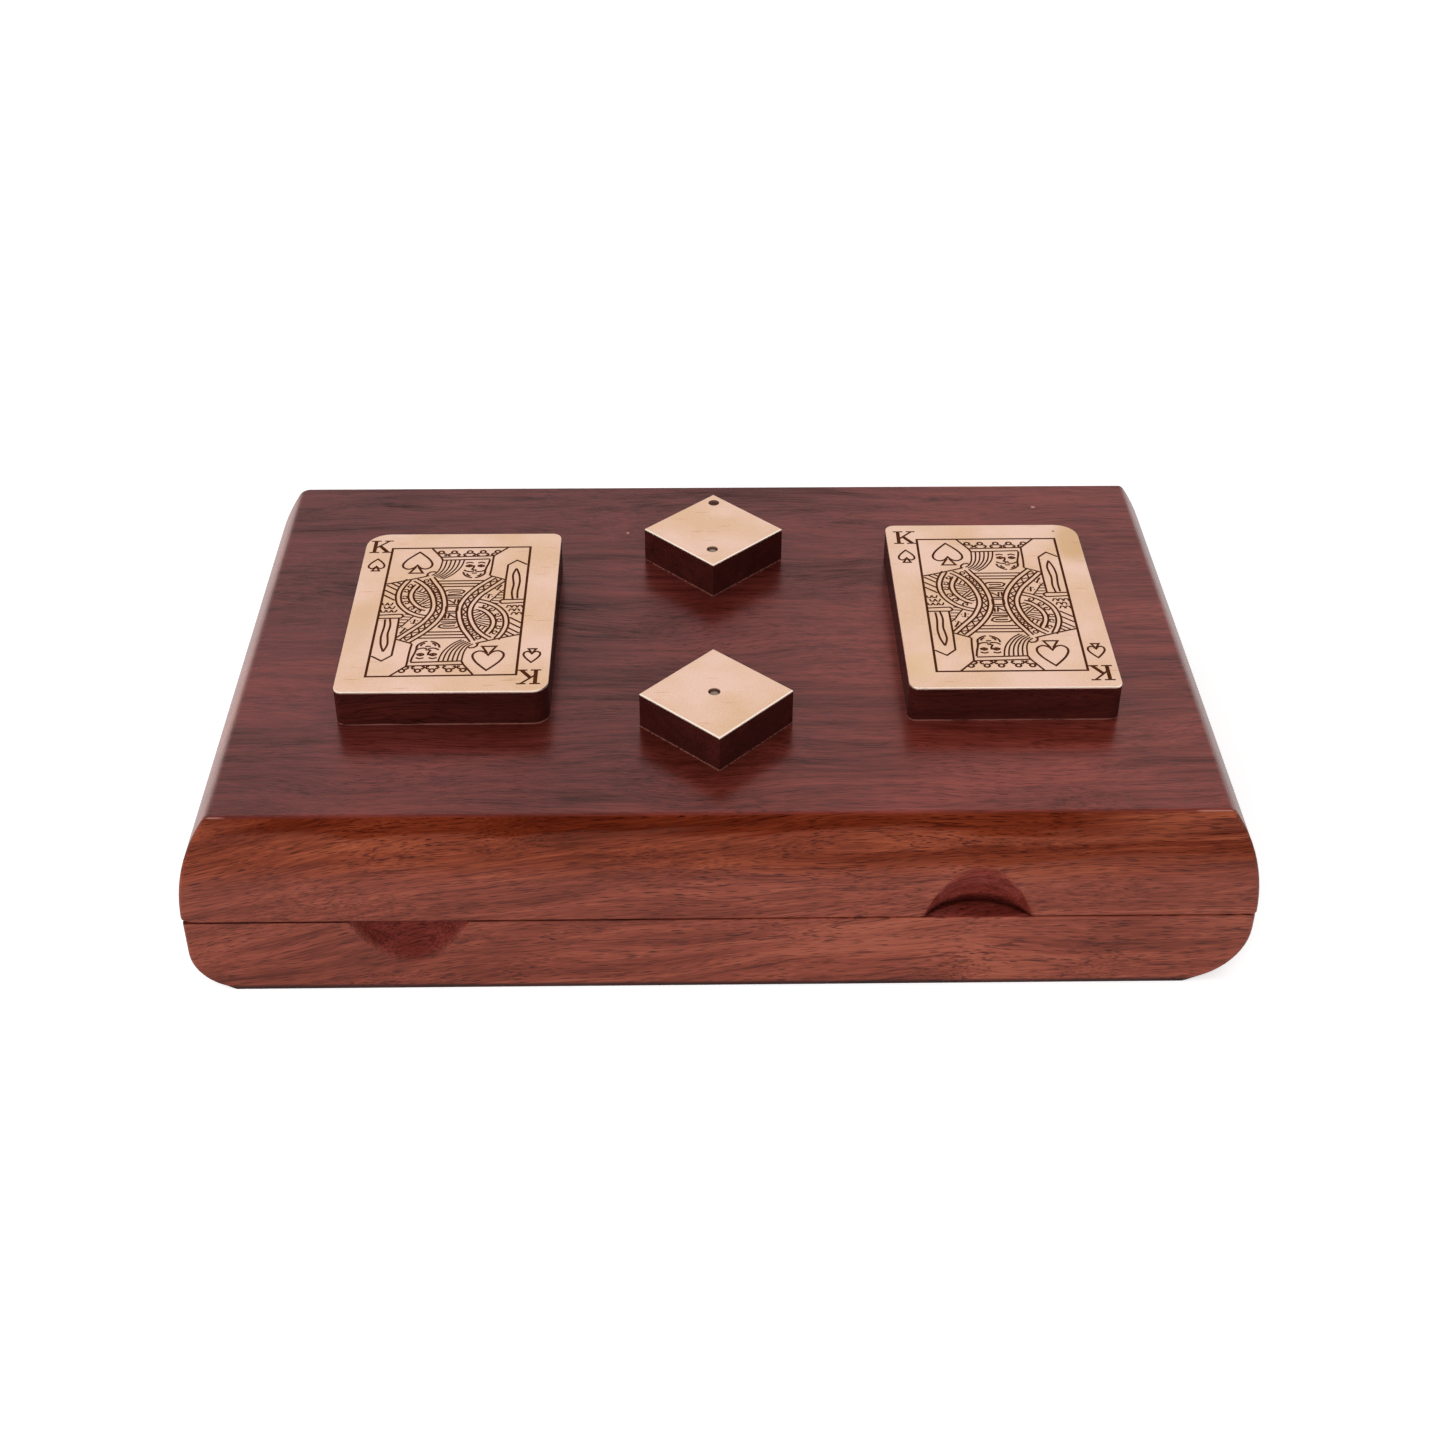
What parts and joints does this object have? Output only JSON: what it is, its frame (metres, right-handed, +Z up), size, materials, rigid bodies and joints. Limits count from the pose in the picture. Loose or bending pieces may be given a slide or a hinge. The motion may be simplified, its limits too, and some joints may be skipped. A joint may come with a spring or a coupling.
{
  "type": "card and dice box",
  "caption": "Hinged hardwood box for playing cards and dice, with rounded ends, thumb notches and raised brass card and dice plates on its lid.",
  "frame": {"origin": "on the surface the box stands on, midway between its two ends and between its front and back faces, with the lid closed", "axes": "+X to the right along the box's length, -Y towards the front with the thumb notches, +Y towards the hinges, +Z up"},
  "size_m": [0.204, 0.1246, 0.0506],
  "materials": {
    "rosewood": "clear lacquer, satin",
    "dark_rosewood": "clear lacquer, satin",
    "plate_brass": "polished, lightly worn",
    "hinge_brass": "satin",
    "pin_steel": "drawn",
    "magnet_nickel": "nickel plated",
    "felt": "napped"
  },
  "bodies": {
    "base": {"base_block": "rosewood", "base_magnets": "magnet_nickel", "base_hinge_screws": "hinge_brass", "left_hinge_base_leaf": "hinge_brass", "right_hinge_base_leaf": "hinge_brass", "left_hinge_pin": "pin_steel", "right_hinge_pin": "pin_steel", "base_left_card_felt": "felt", "base_dice_felt": "felt", "base_right_card_felt": "felt"},
    "lid": {"lid_block": "rosewood", "lid_magnets": "magnet_nickel", "lid_hinge_screws": "hinge_brass", "left_hinge_lid_leaf": "hinge_brass", "right_hinge_lid_leaf": "hinge_brass", "lid_left_card_felt": "felt", "lid_dice_felt": "felt", "lid_right_card_felt": "felt", "left_card_block": "dark_rosewood", "left_card_plate": "plate_brass", "right_card_block": "dark_rosewood", "right_card_plate": "plate_brass", "rear_die_block": "dark_rosewood", "rear_die_plate": "plate_brass", "front_die_block": "dark_rosewood", "front_die_plate": "plate_brass"}
  },
  "joints": [
    {"name": "lid_hinge", "type": "hinge", "parent": "base", "child": "lid", "pos_m": [0, 0.06245, 0.01713], "axis": [-1, 0, 0], "range_deg": [0, 135]}
  ]
}
